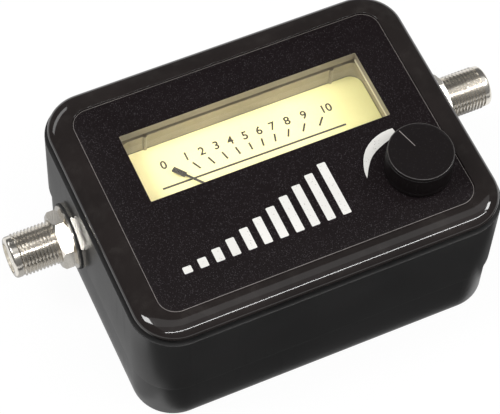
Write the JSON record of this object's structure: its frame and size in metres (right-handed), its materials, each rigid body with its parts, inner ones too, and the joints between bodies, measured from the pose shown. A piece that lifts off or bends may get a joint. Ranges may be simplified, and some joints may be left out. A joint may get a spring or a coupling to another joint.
{
  "type": "satellite signal meter",
  "caption": "Pocket satellite signal meter: black case, moving-coil dial behind a clear window, round gain knob, threaded aerial connector at each end.",
  "frame": {"origin": "centre of the back cover's flat back, on the table, midway between the two connector tips", "axes": "+Z out of the face, +X along the two connectors towards the knob's end, +Y towards the dial window"},
  "size_m": [0.113, 0.0638, 0.0427],
  "materials": {
    "cover_gloss": "glossy black-brown moulded plastic",
    "case_satin": "satin black moulded plastic",
    "label_black": "matte black printed film with fine speckle",
    "clear_plastic": "clear moulded acrylic",
    "meter_black": "black moulded plastic",
    "dial_cream": "cream enamelled dial",
    "nickel": "nickel-plated brass",
    "zinc_steel": "zinc-plated steel",
    "soft_iron": "bare soft iron",
    "magnet_grey": "sintered magnet",
    "brass": "brass strip",
    "copper_winding": "enamelled copper winding",
    "spring_bronze": "phosphor bronze strip",
    "pointer_black": "black painted aluminium",
    "lamp_glass": "small filament lamp",
    "board_green": "green laminate with solder mask",
    "insulator_white": "white insulating plastic",
    "washer_rubber": "black rubber",
    "pot_steel": "plated steel can",
    "wafer_brown": "brown laminate",
    "knob_black": "black moulded plastic with a fine matte top",
    "chip_black": "black moulded package",
    "can_sleeve": "dark blue shrink sleeve",
    "resistor_tan": "tan lacquer",
    "disc_brass": "brass sounder disc"
  },
  "bodies": {
    "meter_body": {"front_cover": "cover_gloss", "wall_ring": "case_satin", "back_cover": "case_satin", "case_screws": "zinc_steel", "face_label": "label_black", "meter_window": "clear_plastic", "meter_tray": "meter_black", "dial_plate": "dial_cream", "dial_screws": "zinc_steel", "magnet_ring": "soft_iron", "core_magnet": "magnet_grey", "core_arms": "brass", "lower_bridge": "brass", "upper_bridge": "brass", "lower_jewel": "brass", "upper_jewel": "brass", "upper_hairspring": "spring_bronze", "lower_hairspring": "spring_bronze", "meter_terminals": "brass", "dial_lamps": "lamp_glass", "circuit_board": "board_green", "board_screws": "zinc_steel", "pot_housing": "pot_steel", "pot_wafer": "wafer_brown", "pot_washer": "zinc_steel", "pot_nut": "zinc_steel", "amplifier_chip": "chip_black", "can_capacitors": "can_sleeve", "transistors": "chip_black", "resistors": "resistor_tan", "buzzer_case": "chip_black", "buzzer_disc": "disc_brass", "left_connector_barrel": "nickel", "left_connector_insulator": "insulator_white", "left_connector_contact": "brass", "left_lock_nut": "nickel", "left_rubber_washer": "washer_rubber", "left_flat_washer": "nickel", "left_hex_nut": "nickel", "right_connector_barrel": "nickel", "right_connector_insulator": "insulator_white", "right_connector_contact": "brass", "right_lock_nut": "nickel", "right_rubber_washer": "washer_rubber", "right_flat_washer": "nickel", "right_hex_nut": "nickel"},
    "movement": {"pointer": "pointer_black", "moving_coil": "copper_winding", "pivot_pins": "zinc_steel"},
    "knob": {"control_knob": "knob_black", "pot_shaft": "zinc_steel"}
  },
  "joints": [
    {"name": "pointer_swing", "type": "hinge", "parent": "meter_body", "child": "movement", "pos_m": [-0.0012, -0.012, 0.0276], "axis": [0, 0, 1], "range_deg": [-80, 0], "stiffness_Nm_per_rad": 0.00002},
    {"name": "knob_turn", "type": "hinge", "parent": "meter_body", "child": "knob", "pos_m": [0.0266, -0.0146, 0.0361], "axis": [0, 0, 1], "range_deg": [-167, 133]}
  ]
}
